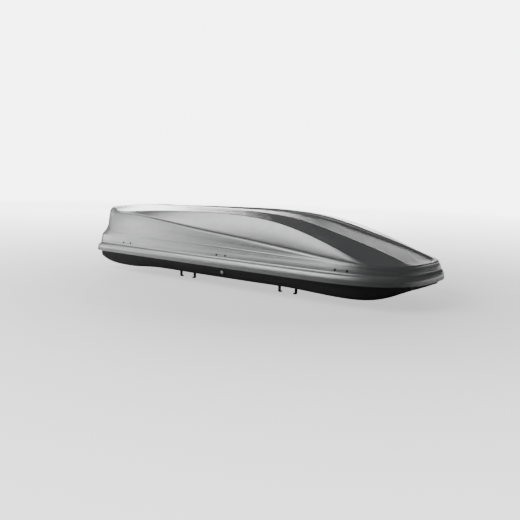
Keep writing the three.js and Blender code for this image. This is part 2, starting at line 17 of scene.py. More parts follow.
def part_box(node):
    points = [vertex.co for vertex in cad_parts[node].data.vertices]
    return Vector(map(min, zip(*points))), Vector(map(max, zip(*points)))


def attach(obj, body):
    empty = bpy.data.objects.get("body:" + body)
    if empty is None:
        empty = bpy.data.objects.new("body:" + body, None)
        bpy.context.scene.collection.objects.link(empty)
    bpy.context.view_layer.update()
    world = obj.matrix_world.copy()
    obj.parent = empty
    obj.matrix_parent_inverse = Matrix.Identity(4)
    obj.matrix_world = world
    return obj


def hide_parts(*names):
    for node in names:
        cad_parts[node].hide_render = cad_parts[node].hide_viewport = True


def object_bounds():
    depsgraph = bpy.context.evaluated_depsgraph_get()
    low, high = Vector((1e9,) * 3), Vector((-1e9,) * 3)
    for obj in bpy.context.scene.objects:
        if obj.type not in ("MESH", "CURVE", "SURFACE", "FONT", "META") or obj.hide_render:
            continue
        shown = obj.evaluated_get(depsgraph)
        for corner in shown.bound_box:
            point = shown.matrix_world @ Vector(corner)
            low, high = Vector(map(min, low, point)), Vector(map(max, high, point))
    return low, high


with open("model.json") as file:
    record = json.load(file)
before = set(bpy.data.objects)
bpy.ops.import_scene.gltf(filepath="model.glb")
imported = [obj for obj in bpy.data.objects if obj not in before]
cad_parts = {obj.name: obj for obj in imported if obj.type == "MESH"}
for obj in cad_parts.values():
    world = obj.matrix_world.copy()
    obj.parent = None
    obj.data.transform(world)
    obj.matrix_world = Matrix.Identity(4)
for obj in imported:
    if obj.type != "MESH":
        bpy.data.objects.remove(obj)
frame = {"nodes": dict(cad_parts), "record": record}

CAD_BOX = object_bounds()
NODES = frame["nodes"]

# ------------------------------------------------------------------ driving dimensions
# The outline tables are drawn for a box 2024 mm long; the box is built 1978 mm long.
TAIL_X, NOSE_X = -998, 1026
SCALE = 1978.0 / (NOSE_X - TAIL_X)
MID = 23.0                              # table x of the working frame's origin
SHIFT = Vector((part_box("lid_shell")[1][0] - (NOSE_X - MID) * SCALE / 1000, 0, 0.042))

SIDES = (("left", 1), ("right", -1))    # name and sign of y
SHELL_T = 0.0039
PIVOT_Y, PIVOT_Z = 0.358, 0.081         # hinge pin axis
BRACKET_X = {"rear": -0.721, "mid": -0.0225, "front": 0.676}
TONGUE_X = [x - 0.020 for x in BRACKET_X.values()]
RIVET_PITCH, RIVET_Z = 0.058, 0.129
ARM_X = [-0.850, 0.560]
LOCK_X, LOCK_Z = BRACKET_X["mid"], 0.040
BARS_X = {"rear": -0.370, "front": 0.305}
CLAMP_Y = 0.225
STRAP_X = {"rear": -0.200, "front": 0.130}

# ------------------------------------------------------------------ outline tables
# Half outlines at 16 stations, from the tail's centre round the left side to the nose's centre.
# Columns are x, y, z in table mm; PLAN, the lid's open edge, has x, y only.
PLAN = [
    [-998, 0], [-998, 172], [-994, 318], [-971, 371], [-920, 387], [-750, 390], [-500, 394],
    [-200, 396], [100, 396], [350, 396], [550, 395], [700, 386], [825, 358], [930, 295],
    [1007, 182], [1026, 0]]
# lid, from its wall up and in to the centre line
LOWER = [
    [-984, 0, 168], [-984, 165, 168], [-977, 300, 167], [-957, 345, 165], [-905, 358, 161],
    [-750, 360, 159], [-500, 362, 159], [-200, 364, 159], [100, 364, 159], [350, 364, 158],
    [550, 362, 158], [700, 354, 156], [812, 337, 149], [905, 284, 140], [987, 174, 133],
    [1004, 0, 132]]
FACET = [
    [-980, 0, 214], [-980, 160, 214], [-971, 276, 213], [-951, 306, 211], [-900, 336, 206],
    [-750, 348, 205], [-500, 355, 201], [-200, 358, 192], [100, 359, 184], [350, 359, 177],
    [550, 358, 169], [700, 350, 163], [815, 335, 156], [905, 281, 146], [984, 172, 141],
    [1001, 0, 140]]
GROOVE = [
    [-978, 0, 306], [-978, 155, 306], [-970, 262, 305], [-948, 290, 304], [-892, 299, 304],
    [-755, 319, 304], [-500, 338, 285], [-200, 346, 255], [100, 350, 232], [350, 351, 210],
    [550, 349, 190], [700, 343, 175], [818, 332, 164], [905, 277, 153], [980, 169, 149],
    [998, 0, 149]]
SHOULDER = [
    [-972, 0, 331], [-971, 150, 331], [-962, 254, 328], [-936, 282, 322], [-880, 291, 309],
    [-750, 293, 314], [-500, 294, 333], [-200, 297, 343], [100, 303, 344], [350, 311, 317],
    [550, 319, 265], [700, 326, 215], [815, 325, 171], [902, 268, 164], [974, 160, 163],
    [994, 0, 163]]
STRIP = [
    [-965, 0, 333.5], [-964, 78, 333.5], [-958, 133, 332.0], [-940, 150, 329.0],
    [-885, 158, 322.5], [-750, 170, 327.5], [-500, 190, 341.0], [-200, 216, 349.0],
    [100, 226, 349.5], [350, 230, 323.5], [550, 234, 274.0], [700, 238, 229.5],
    [814, 238, 192.0], [896, 209, 177.5], [965, 154, 165.5], [992, 0, 163.5]]
CREST = [
    [-958, 0, 336], [-957, 6, 336], [-954, 12, 336], [-944, 19, 336], [-890, 26, 336],
    [-750, 47, 341], [-500, 86, 350], [-200, 134, 357], [100, 150, 359], [350, 150, 336],
    [550, 150, 290], [700, 150, 250], [812, 150, 217], [890, 150, 192], [956, 148, 168],
    [990, 0, 164]]
CHANNEL = [
    [-946, 0, 334], [-945, 4, 334], [-942, 8, 334], [-932, 12, 334], [-882, 18, 333],
    [-750, 37, 337], [-500, 74, 345], [-200, 121, 348], [100, 137, 347], [350, 137, 321],
    [550, 137, 275], [700, 137, 237], [812, 137, 208], [886, 137, 185], [946, 136, 164],
    [979, 0, 161]]
CENTRE = [
    [-932, 0, 333], [-928, 0, 333], [-922, 0, 333], [-910, 0, 333], [-865, 0, 333],
    [-750, 0, 338], [-500, 0, 346], [-200, 0, 349], [100, 0, 348], [350, 0, 322],
    [550, 0, 276], [700, 0, 238], [806, 0, 211], [872, 0, 190], [925, 0, 173], [962, 0, 163]]
# tray, from the edge of its floor in to the centre line
BOTTOM = [
    [-955, 0, 22], [-955, 165, 22], [-948, 290, 22], [-922, 322, 18], [-868, 316, -4],
    [-745, 304, -13], [-525, 300, 0], [-200, 300, 0], [100, 300, 0], [425, 300, 0],
    [560, 297, -7], [700, 286, -14], [815, 262, -12], [905, 218, 10], [962, 130, 40],
    [978, 0, 46]]
KEEL = [
    [-930, 0, 12], [-930, 115, 12], [-920, 200, 10], [-885, 225, 4], [-835, 222, -10],
    [-728, 210, -14], [-525, 205, 0], [-200, 205, 0], [100, 205, 0], [425, 205, 0],
    [555, 202, -15], [690, 192, -20], [795, 172, -19], [868, 138, -4], [922, 80, 22],
    [940, 0, 30]]
KEEL_CENTRE = [
    [-900, 0, 6], [-896, 0, 5], [-886, 0, 3], [-855, 0, -4], [-805, 0, -12], [-718, 0, -14],
    [-525, 0, 0], [-200, 0, 0], [100, 0, 0], [425, 0, 0], [550, 0, -15], [680, 0, -20],
    [770, 0, -19], [830, 0, -8], [872, 0, 10], [895, 0, 20]]
# inward offsets from PLAN at the stations
SHELF_INSET = [10, 10, 13, 19, 22, 22.5, 22.5, 22.5, 22.5, 22.5, 22.5, 21, 19, 19, 17, 17]
TRAY_INSET = [18, 18, 18, 22, 33, 38, 38, 38, 38, 38, 38, 38, 36, 31, 26, 24]
# samples in each of the 15 intervals between stations, and the sample each station falls on
COUNTS = [10, 10, 10, 9, 12, 18, 20, 20, 20, 18, 15, 13, 13, 13, 14]
STARTS = np.concatenate([[0], np.cumsum(COUNTS)])


# ------------------------------------------------------------------ curve helpers
def along(values):
    """A value per station, spread over the samples."""
    return np.interp(np.arange(STARTS[-1] + 1), STARTS, values)


def unit(vectors):
    return vectors / np.maximum(np.linalg.norm(vectors, axis=-1, keepdims=True), 1e-12)


def between(p, q, t_p, t_q, t):
    return (t_q - t) / (t_q - t_p) * p + (t - t_p) / (t_q - t_p) * q


def catmull(table):
    """Centripetal Catmull-Rom curve through a table, its ends mirrored in the centre plane."""
    points = np.array(table, float)
    before, after = points[1] * [1, -1, 1], points[-2] * [1, -1, 1]
    if np.allclose(points[:, 1], 0):    # a row on the centre plane runs straight on instead
        before, after = 2 * points[0] - points[1], 2 * points[-1] - points[-2]
    points = np.vstack([before, points, after])
    curve = []
    for i, count in enumerate(COUNTS):
        p = points[i:i + 4]
        t = [0.0]
        for j in range(3):
            t.append(t[j] + np.linalg.norm(p[j + 1] - p[j]) ** 0.5)
        for k in range(count):
            now = t[1] + (t[2] - t[1]) * k / count
            a = [between(p[j], p[j + 1], t[j], t[j + 1], now) for j in range(3)]
            b = [between(a[j], a[j + 1], t[j], t[j + 2], now) for j in range(2)]
            curve.append(between(b[0], b[1], t[1], t[2], now))
    curve.append(points[-2])
    return np.array(curve)


def relax(row, passes, first=0, stop=None):
    """Fairs a half row between two samples, fading in and out where these aren't its ends."""
    row = row.copy()
    stop = len(row) if stop is None else stop
    weight = np.zeros(len(row))
    weight[first:stop] = 1
    fade = 14
    for k in range(fade):
        if first > 0:
            weight[first + k] = min(weight[first + k], k / fade)
        if stop < len(row):
            weight[stop - 1 - k] = min(weight[stop - 1 - k], k / fade)
    weight = weight[:, None]
    for _ in range(passes):
        wide = np.vstack([row[1] * [1, -1, 1], row, row[-2] * [1, -1, 1]])
        row = row + 0.5 * weight * (0.5 * (wide[:-2] + wide[2:]) - row)
    row[0, 1] = row[-1, 1] = 0
    return row


def inset(row, distance, z):
    """The row moved inwards in plan and set at height z."""
    wide = np.vstack([row[1] * [1, -1, 1], row, row[-2] * [1, -1, 1]])
    tangent = wide[2:] - wide[:-2]
    length = np.hypot(tangent[:, 0], tangent[:, 1])
    moved = row.copy()
    moved[:, 0] += tangent[:, 1] / length * distance
    moved[:, 1] -= tangent[:, 0] / length * distance
    moved[:, 2] = z
    moved[0, 1] = moved[-1, 1] = 0
    return moved


def left_side(row, x, beyond):
    """Working (y, z) of a row's left side at x; only samples with table y over beyond count."""
    side = row[row[:, 1] > beyond]
    side = side[np.argsort(side[:, 0])]
    side_x = (side[:, 0] - MID) * SCALE / 1000
    return [np.interp(x, side_x, side[:, k] * SCALE / 1000) for k in (1, 2)]


# ------------------------------------------------------------------ shells
Groove = namedtuple("Groove", "depth half_width")
# how far along a groove's mouth, and what share of its depth
GROOVE_PROFILE = ((0, 0), (0.12, 0.1), (0.3, 0.55), (0.5, 1), (0.7, 0.55), (0.88, 0.1), (1, 0))


def bezier(start, control, end, f):
    return (1 - f) ** 2 * start + 2 * f * (1 - f) * control + f * f * end


def edge_points(row, before, after, edge, steps):
    """The row turned into a rounded edge of a given radius, or pressed into a Groove."""
    to_before, to_after = before - row, after - row
    len_before = np.linalg.norm(to_before, axis=1)
    len_after = np.linalg.norm(to_after, axis=1)
    if isinstance(edge, Groove):
        half = np.minimum(edge.half_width, 0.4 * np.minimum(len_before, len_after))[:, None]
        start, end = row + unit(to_before) * half, row + unit(to_after) * half
        forward = unit(np.gradient(row, axis=0))
        inward = unit(np.cross(forward, unit(to_after) - unit(to_before)))
        return [0.5 * (start + (end - start) * f + bezier(start, row, end, f))
                + inward * edge.depth[:, None] * share for f, share in GROOVE_PROFILE]
    reach = np.minimum(np.minimum(edge, 0.45 * len_before), 0.45 * len_after)[:, None]
    start, end = row + unit(to_before) * reach, row + unit(to_after) * reach
    return [bezier(start, row, end, k / steps) for k in range(steps + 1)]


def sections(bands, corner):
    """Half rows of a shell, (row, sample, xyz), from its open edge to the centre.

    A band is (row, edge, samples in the panel to the next band, crown of that panel). Edge is
    a radius, a Groove, or None at the two ends. Corner is the number of steps round an edge."""
    edges = []
    for i, (row, edge, _, _) in enumerate(bands):
        edges.append([row] if edge is None else
                     edge_points(row, bands[i - 1][0], bands[i + 1][0], edge, corner))
    rows = []
    for i, (_, _, samples, crown) in enumerate(bands[:-1]):
        rows.extend(edges[i])
        start, end = edges[i][-1], edges[i + 1][0]
        span = end - start
        outward = -unit(np.cross(unit(np.gradient((start + end) / 2, axis=0)), unit(span)))
        for k in range(1, samples + 1):
            f = k / (samples + 1)
            bulge = np.reshape(4 * f * (1 - f) * crown, (-1, 1))
            rows.append(start + span * f + outward * bulge)
    rows.extend(edges[-1])
    return np.array(rows)


def shell_mesh(name, half_rows):
    """Mirrors the half rows (table mm) in the centre plane into one open surface in metres."""
    co = (half_rows - [MID, 0, 0]) * SCALE / 1000.0
    co[:, 0, 1] = 0
    co[:, -1, 1] = 0
    co[-1, :, 1] = 0
    right = co[:, 1:-1][:, ::-1] * [1, -1, 1]
    rings = np.concatenate([co, right], axis=1)
    count, n = rings.shape[:2]
    verts = rings.reshape(-1, 3) + np.array(SHIFT)
    faces = []
    for r in range(count - 1):
        for i in range(n):
            j = (i + 1) % n
            faces.append((r * n + i, r * n + j, (r + 1) * n + j, (r + 1) * n + i))
    mesh = bpy.data.meshes.new(name)
    mesh.from_pydata([tuple(v) for v in verts], [], faces)
    bm = bmesh.new()
    bm.from_mesh(mesh)
    bmesh.ops.remove_doubles(bm, verts=bm.verts, dist=2e-5)
    bmesh.ops.dissolve_degenerate(bm, edges=bm.edges, dist=1e-6)
    bmesh.ops.recalc_face_normals(bm, faces=bm.faces)
    bm.to_mesh(mesh)
    bm.free()
    return mesh


# ------------------------------------------------------------------ object helpers
def add(name, mesh, slot):
    obj = bpy.data.objects.new(name, mesh)
    bpy.context.scene.collection.objects.link(obj)
    mesh.materials.append(MATERIALS[slot])
    return obj


def shade(obj, angle):
    """Smooth shading, sharp over an angle in degrees."""
    mesh = obj.data
    mesh.polygons.foreach_set("use_smooth", [True] * len(mesh.polygons))
    mesh.set_sharp_from_angle(angle=math.radians(angle))


def settle(obj, angle, body, replaced=None):
    shade(obj, angle)
    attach(obj, body)
    if replaced:
        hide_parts(replaced)


def apply_modifiers(obj):
    graph = bpy.context.evaluated_depsgraph_get()
    graph.update()
    mesh = bpy.data.meshes.new_from_object(obj.evaluated_get(graph))
    old = obj.data
    obj.modifiers.clear()
    obj.data = mesh
    mesh.name = old.name


def add_shell(name, mesh, slot):
    """A shell with its wall thickness laid inwards."""
    obj = add(name, mesh, slot)
    wall = obj.modifiers.new("wall", "SOLIDIFY")
    wall.thickness = SHELL_T
    wall.offset = -1
    wall.use_even_offset = False
    wall.use_rim = True
    apply_modifiers(obj)
    return obj


# ------------------------------------------------------------------ mesh helpers
def bm_box(bm, x0, x1, y0, y1, z0, z1):
    corners = ((x0, y0, z0), (x1, y0, z0), (x1, y1, z0), (x0, y1, z0),
               (x0, y0, z1), (x1, y0, z1), (x1, y1, z1), (x0, y1, z1))
    verts = [bm.verts.new(p) for p in corners]
    for face in ((0, 3, 2, 1), (4, 5, 6, 7), (0, 1, 5, 4), (1, 2, 6, 5), (2, 3, 7, 6),
                 (3, 0, 4, 7)):
        bm.faces.new([verts[i] for i in face])


def bm_lathe(bm, profile, n, matrix):
    """Revolves (radius, height) points, axis to axis, about local z, placed by matrix."""
    rings = []
    for r, h in profile:
        if r < 1e-9:
            rings.append([bm.verts.new(matrix @ Vector((0, 0, h)))])
            continue
        angles = [2 * math.pi * k / n for k in range(n)]
        rings.append([bm.verts.new(matrix @ Vector((r * math.cos(a), r * math.sin(a), h)))
                      for a in angles])
    for a, b in zip(rings, rings[1:]):
        for k in range(n):
            j = (k + 1) % n
            if len(a) == 1:
                bm.faces.new((a[0], b[j], b[k]))
            elif len(b) == 1:
                bm.faces.new((a[k], a[j], b[0]))
            else:
                bm.faces.new((a[k], a[j], b[j], b[k]))


def bm_merge(bm, part):
    """Moves the bmesh part into bm."""
    mesh = bpy.data.meshes.new("tmp")
    part.to_mesh(mesh)
    part.free()
    bm.from_mesh(mesh)
    bpy.data.meshes.remove(mesh)


def bm_rounded(bm, *bounds, radius, segments=3, profile=0.5, matrix=Matrix.Identity(4)):
    """A box (bounds as in bm_box) with bevelled edges."""
    part = bmesh.new()
    bm_box(part, *bounds)
    bmesh.ops.bevel(part, geom=part.edges[:], offset=radius, segments=segments,
                    affect="EDGES", profile=profile)
    part.transform(matrix)
    bm_merge(bm, part)


def mesh_from(name, build, *args):
    """The mesh that build(bm, *args) draws in the working frame."""
    bm = bmesh.new()
    build(bm, *args)
    bmesh.ops.recalc_face_normals(bm, faces=bm.faces)
    bmesh.ops.translate(bm, verts=bm.verts, vec=SHIFT)
    mesh = bpy.data.meshes.new(name)
    bm.to_mesh(mesh)
    bm.free()
    return mesh


Z_TO_Y = Matrix(((1, 0, 0, 0), (0, 0, 1, 0), (0, -1, 0, 0), (0, 0, 0, 1)))


def at(x, y, z, matrix=Matrix.Identity(4)):
    return Matrix.Translation((x, y, z)) @ matrix


def boolean(target, operation, build, *args):
    """Cuts or joins the solid that build draws."""
    tool = bpy.data.objects.new("cutter", mesh_from("cutter", build, *args))
    bpy.context.scene.collection.objects.link(tool)
    modifier = target.modifiers.new("cut", "BOOLEAN")
    modifier.operation = operation
    modifier.solver = "EXACT"
    modifier.object = tool
    apply_modifiers(target)
    bpy.data.objects.remove(tool)


# ------------------------------------------------------------------ shader helpers
class Shader:
    """Short calls that build one node tree. Inputs take a socket, a number or a tuple."""

    def __init__(self, tree):
        self.tree = tree

    def put(self, socket, value):
        if isinstance(value, bpy.types.NodeSocket):
            self.tree.links.new(value, socket)
        else:
            socket.default_value = (*value, 1) if socket.type == "RGBA" else value

    def node(self, kind, inputs=None, **settings):
        made = self.tree.nodes.new("ShaderNode" + kind)
        for key, value in settings.items():
            setattr(made, key, value)
        for key, value in (inputs or {}).items():
            self.put(made.inputs[key], value)
        return made

    def surface(self, inputs):
        for key, value in inputs.items():
            self.put(self.tree.nodes["Principled BSDF"].inputs[key], value)

    def coords(self, scale=(1, 1, 1)):
        source = self.node("TexCoord").outputs["Object"]
        return self.node("Mapping", {"Scale": scale, "Vector": source}).outputs["Vector"]

    def noise(self, vec, scale, detail=3, rough=0.5):
        return self.node("TexNoise", {"Scale": scale, "Detail": detail, "Roughness": rough,
                                      "Vector": vec}).outputs["Fac"]

    def ramp(self, factor, low, middle, high):
        """Three colour stops, each (position, colour)."""
        made = self.node("ValToRGB", {"Fac": factor})
        stops = made.color_ramp.elements
        for stop, (position, colour) in zip(stops, (low, high)):
            stop.position = position
            stop.color = (*colour, 1)
        stops.new(middle[0]).color = (*middle[1], 1)
        return made.outputs["Color"]

    def remap(self, value, source, target):
        """Maps the source range linearly on to the target range, clamped."""
        return self.node("MapRange", {
            "From Min": source[0], "From Max": source[1],
            "To Min": target[0], "To Max": target[1], "Value": value}).outputs["Result"]

    def math(self, operation, a, b):
        return self.node("Math", {0: a, 1: b}, operation=operation).outputs[0]

    def mix(self, factor, base, over):
        """Colour base, turning into over as factor goes from 0 to 1."""
        return self.node("Mix", {0: factor, 6: base, 7: over}, data_type="RGBA",
                         clamp_factor=True).outputs[2]

    def bump(self, height, strength, distance, normal=None):
        inputs = {"Strength": strength, "Distance": distance, "Height": height}
        if normal is not None:
            inputs["Normal"] = normal
        return self.node("Bump", inputs).outputs["Normal"]

    def leather_grain(self, vec, scale):
        """Height of pebbled cells with soft valleys."""
        cells = self.node("TexVoronoi", {"Scale": scale}, feature="DISTANCE_TO_EDGE")
        wobble = self.node("TexNoise", {"Scale": scale * 0.8, "Detail": 2, "Vector": vec})
        bent = self.node("VectorMath", {0: wobble.outputs["Color"], 1: (0.7 / scale,) * 3,
                                        2: vec}, operation="MULTIPLY_ADD")
        self.put(cells.inputs["Vector"], bent.outputs[0])
        return self.remap(cells.outputs["Distance"], source=(0.0, 0.28), target=(0.0, 1.0))

    def edge_wear(self, radius):
        """1 on edges, 0 on flats."""
        bevel = self.node("Bevel", {"Radius": radius}, samples=4)
        geometry = self.node("NewGeometry")
        facing = self.node("VectorMath", {0: bevel.outputs["Normal"],
                                          1: geometry.outputs["Normal"]},
                           operation="DOT_PRODUCT")
        return self.remap(facing.outputs["Value"], source=(0.80, 0.99), target=(1.0, 0.0))


def material(name):
    made = bpy.data.materials.new(name)
    made.use_nodes = True
    return made, Shader(made.node_tree)


def scaled(colour, factor, offset=0.0):
    return tuple(min(1, c * factor + offset) for c in colour)


# ------------------------------------------------------------------ materials
def grained_plastic(name, dark, mid, light, rough, grain, depth, dust_colour, metal=0.0):
    """Sheet plastic with a pebbled grain and a trace of dust on upward faces."""
    made, sh = material(name)
    vec = sh.coords()
    broad = sh.noise(vec, scale=2.6, detail=4, rough=0.55)
    fine = sh.noise(vec, scale=46, detail=4, rough=0.6)
    colour = sh.ramp(broad, low=(0.25, dark), middle=(0.5, mid), high=(0.78, light))
    pebbles = sh.leather_grain(vec, scale=grain)
    speck = sh.noise(vec, scale=900, detail=2, rough=0.6)
    valley = sh.remap(pebbles, source=(0, 1), target=(0.34, 0.0))
    colour = sh.mix(valley, colour, scaled(dark, 0.62))
    pale_speck = sh.remap(speck, source=(0.55, 0.75), target=(0.0, 0.12))
    colour = sh.mix(pale_speck, colour, scaled(light, 1.35))

    geometry = sh.node("NewGeometry")
    normal = sh.node("SeparateXYZ", {0: geometry.outputs["Normal"]})
    upward = sh.remap(normal.outputs["Z"], source=(0.2, 1.0), target=(0.0, 1.0))
    patches = sh.remap(fine, source=(0.35, 0.75), target=(0.2, 1.0))
    dust_amount = 0.04
    dust = sh.math("MULTIPLY", sh.math("MULTIPLY", upward, patches), dust_amount)
    colour = sh.mix(dust, colour, dust_colour)

    grained = sh.bump(pebbles, strength=0.55, distance=depth)
    waviness = sh.noise(vec, scale=9, detail=2)
    sh.surface({
        "Metallic": metal,
        "Base Color": colour,
        "Roughness": sh.remap(fine, source=(0.3, 0.7), target=(rough - 0.05, rough + 0.07)),
        "Normal": sh.bump(waviness, strength=0.12, distance=0.0012, normal=grained)})
    return made


def galvanised_steel():
    made, sh = material("galvanised_steel")
    base, tarnish, rough = (0.52, 0.53, 0.55), (0.62, 0.6, 0.52), 0.36
    vec = sh.coords()
    spangle = sh.node("TexVoronoi", {"Scale": 160, "Vector": vec}).outputs["Color"]
    spangle = sh.remap(spangle, source=(0, 1), target=(0.0, 0.35))
    colour = sh.mix(spangle, base, scaled(base, 1.25))
    stain = sh.remap(sh.noise(vec, scale=30, detail=4), source=(0.52, 0.8), target=(0, 0.4))
    patches = sh.noise(vec, scale=70, detail=4)
    brushing = sh.noise(sh.coords(scale=(1, 12, 1)), scale=220, detail=2)
    sh.surface({
        "Base Color": sh.mix(stain, colour, tarnish),
        "Metallic": 1.0,
        "Roughness": sh.remap(patches, source=(0.3, 0.7), target=(rough - 0.08, rough + 0.14)),
        "Normal": sh.bump(brushing, strength=0.12, distance=0.0002)})
    return made


def coat(name, colour, rough, grain, depth, metal=0.0, light=1.5):
    """Paint or moulded plastic with texture and pale rubbed edges."""
    made, sh = material(name)
    vec = sh.coords()
    mottle = sh.remap(sh.noise(vec, scale=24, detail=4), source=(0.35, 0.7), target=(0, 0.5))
    mottled = sh.mix(mottle, colour, scaled(colour, light))
    wear = sh.math("MULTIPLY", sh.edge_wear(radius=0.0012), 0.5)
    patches = sh.noise(vec, scale=60)
    texture = sh.noise(vec, scale=grain, detail=2, rough=0.6)
    sh.surface({
        "Base Color": sh.mix(wear, mottled, scaled(colour, 2.2, offset=0.03)),
        "Metallic": metal,
        "Roughness": sh.remap(patches, source=(0.3, 0.7), target=(rough - 0.06, rough + 0.1)),
        "Normal": sh.bump(texture, strength=0.3, distance=depth)})
    return made


def lock_chrome():
    made, sh = material("lock_chrome")
    vec = sh.coords()
    mottle = sh.remap(sh.noise(vec, scale=120), source=(0.4, 0.7), target=(0, 0.5))
    sh.surface({
        # Near-white colour on a chrome face: painted brightness that stands in for its reflection
        # and lifts it out of the lid skirt's shade.
        "Metallic": 0.1,
        "Base Color": sh.mix(mottle, (0.97, 0.97, 0.97), (0.90, 0.90, 0.91)),
        "Roughness": sh.remap(sh.noise(vec, scale=300), source=(0.3, 0.7),
                              target=(0.26, 0.36)),
        "Normal": sh.bump(sh.noise(vec, scale=900, detail=2), strength=0.1, distance=0.0001)})
    return made


def webbing():
    """Two crossed waves make the weave."""
    made, sh = material("webbing")
    thread = (0.03, 0.031, 0.035)
    vec = sh.coords()
    waves = [sh.node("TexWave", {"Scale": scale, "Distortion": 0.4, "Vector": vec},
                     bands_direction=axis).outputs["Fac"]
             for axis, scale in (("X", 160), ("Y", 190))]
    weave = sh.math("MULTIPLY", *waves)
    sh.surface({
        "Base Color": sh.mix(weave, scaled(thread, 0.5), scaled(thread, 2.0)),
        "Roughness": 0.85,
        "Sheen Weight": 0.4,
        "Normal": sh.bump(weave, strength=0.7, distance=0.0006)})
    return made


MATERIALS = {
    "lid_plastic": grained_plastic(
        "lid_plastic", dark=(0.375, 0.378, 0.382), mid=(0.400, 0.403, 0.407),
        light=(0.430, 0.433, 0.437), rough=0.34, grain=520, depth=0.00012,
        dust_colour=(0.5, 0.49, 0.46), metal=0.75),
    "base_plastic": grained_plastic(
        "base_plastic", dark=(0.062, 0.0625, 0.064), mid=(0.074, 0.075, 0.0765),
        light=(0.086, 0.087, 0.088), rough=0.46, grain=480, depth=0.0002,
        dust_colour=(0.2, 0.19, 0.18)),
    "galvanised_steel": galvanised_steel(),
    "rivet_black": coat("rivet_black", colour=(0.022, 0.022, 0.024), rough=0.42, grain=600,
                        depth=0.0001, metal=0.1),
    "arm_black": coat("arm_black", colour=(0.028, 0.029, 0.032), rough=0.5, grain=700,
                      depth=0.00015),
    "housing_plastic": coat("housing_plastic", colour=(0.030, 0.031, 0.034), rough=0.55,
                            grain=800, depth=0.0001),
    "knob_red": coat("knob_red", colour=(0.36, 0.022, 0.018), rough=0.42, grain=700,
                     depth=0.0001, light=1.25),
    "pad_rubber": coat("pad_rubber", colour=(0.016, 0.016, 0.017), rough=0.82, grain=500,
                       depth=0.0002),
    "lock_chrome": lock_chrome(),
    "webbing": webbing(),
}

# ------------------------------------------------------------------ lid
plan = relax(catmull([[x, y, 70] for x, y in PLAN]), passes=30)


def lid_row(table):
    return relax(relax(catmull(table), 60, STARTS[4], STARTS[14]), 12)


lid_shelf = inset(plan, along(SHELF_INSET), z=117)
lid_lower = lid_row(LOWER)
side_groove = Groove(
    depth=along([0, 0, 0, 0, 1.6, 5.0, 5.6, 5.6, 5.6, 5.4, 4.8, 3.6, 1.4, 0, 0, 0]),
    half_width=along([6, 6, 6, 6, 6, 6.5, 7, 7, 7, 7, 6.5, 5.5, 4, 4, 4, 4]))
lid_bands = [
    # row, edge, panel samples, panel crown
    (plan, None, 3, 0),
    (inset(plan, 1.0, z=93), 6.0, 2, 0),
    (inset(plan, 8.0, z=109.5), 7.0, 2, 0),
    (lid_shelf, 5.0, 5, 1),
    (lid_lower, along([12] * 12 + [10, 8, 8, 8]), 3, along([0] * 4 + [0.4] * 12)),
    (lid_row(FACET), along([30, 30, 26, 16, 14, 30, 40, 40, 40, 30, 20, 20, 16, 12, 10, 10]),
     8, along([3, 3, 2, 0, 0, 1, 1, 1, 1, 1, 0.6, 0.4, 0.2, 0, 0, 0])),
    (lid_row(GROOVE), side_groove, 9,
     along([0, 0, 0, 0, 0, 0, 0.6, 2, 3.4, 4, 3, 2, 1, 1, 1, 1])),
    (lid_row(SHOULDER), along([10, 10, 9, 7, 6, 6, 5, 4.5, 4, 4, 4, 4, 4, 5, 4, 4]), 6, 0),
    (lid_row(STRIP), 60, 6, 0),
    (lid_row(CREST), along([30] * 5 + [12, 9, 8, 8, 8, 8, 8, 6, 5, 4, 4]), 3, 0),
    (lid_row(CHANNEL), along([14] * 5 + [8, 6, 4] + [3] * 8), 8, 0),
    (lid_row(CENTRE), None, 0, 0),
]
lid = add_shell("roof_box_lid", shell_mesh("lid", sections(lid_bands, corner=5)), "lid_plastic")


# ------------------------------------------------------------------ tray
def tray_row(table):
    return relax(catmull(table), 40, STARTS[10], STARTS[15])


tray_inset = along(TRAY_INSET)
tray_wall = inset(plan, tray_inset, z=96)
bottom = tray_row(BOTTOM)
chine = inset(plan, tray_inset + 2, z=np.maximum(38, bottom[:, 2] + 7))
bilge = chine + (bottom - chine) * [0.42, 0.42, 0.76]
tray_bands = [
    # row, edge, panel samples, panel crown
    (tray_wall, None, 2, 0),
    (inset(plan, tray_inset, z=66), 8, 2, 0),
    (chine, 14, 2, 0),
    (bilge, 24, 3, 0),
    (bottom, 22, 8, 0),
    (tray_row(KEEL), 10, 14, 0),
    (tray_row(KEEL_CENTRE), None, 0, 0),
]
tray = add_shell("roof_box_tray", shell_mesh("tray", sections(tray_bands, corner=4)),
                 "base_plastic")


def tray_cuts(bm):
    # notches in the rim at the arms
    half = 0.018
    for x in ARM_X:
        bm_box(bm, x - half, x + half, -0.42, 0.42, PIVOT_Z - 0.010, 0.12)
    # slots in the wall beside the saddles
    for x in TONGUE_X:
        for s in (-1, 1):
            bm_box(bm, x - 0.056, x - 0.020, *sorted((s * 0.300, s * 0.356)),
                   PIVOT_Z - 0.005, PIVOT_Z + 0.005)
    # round holes for the locks
    hole = [(0, -0.02), (0.0134, -0.02), (0.0134, 0.02), (0, 0.02)]
    for s in (-1, 1):
        bm_lathe(bm, hole, 40, at(LOCK_X, s * 0.345, LOCK_Z, Z_TO_Y))
    # slots in the floor for the clamps
    for x in BARS_X.values():
        for s in (-1, 1):
            bm_box(bm, x - 0.0575, x + 0.0575, s * CLAMP_Y - 0.0125, s * CLAMP_Y + 0.0125,
                   -0.012, 0.012)


boolean(tray, "DIFFERENCE", tray_cuts)
settle(tray, 35, "base")


# ------------------------------------------------------------------ rivets on the lid's sides
def lid_side(x, z):
    """Outside y of the left lid wall."""
    y_low, z_low = left_side(lid_shelf, x, beyond=250)
    y_high, z_high = left_side(lid_lower, x, beyond=250)
    return y_low + (z - z_low) / (z_high - z_low) * (y_high - y_low)


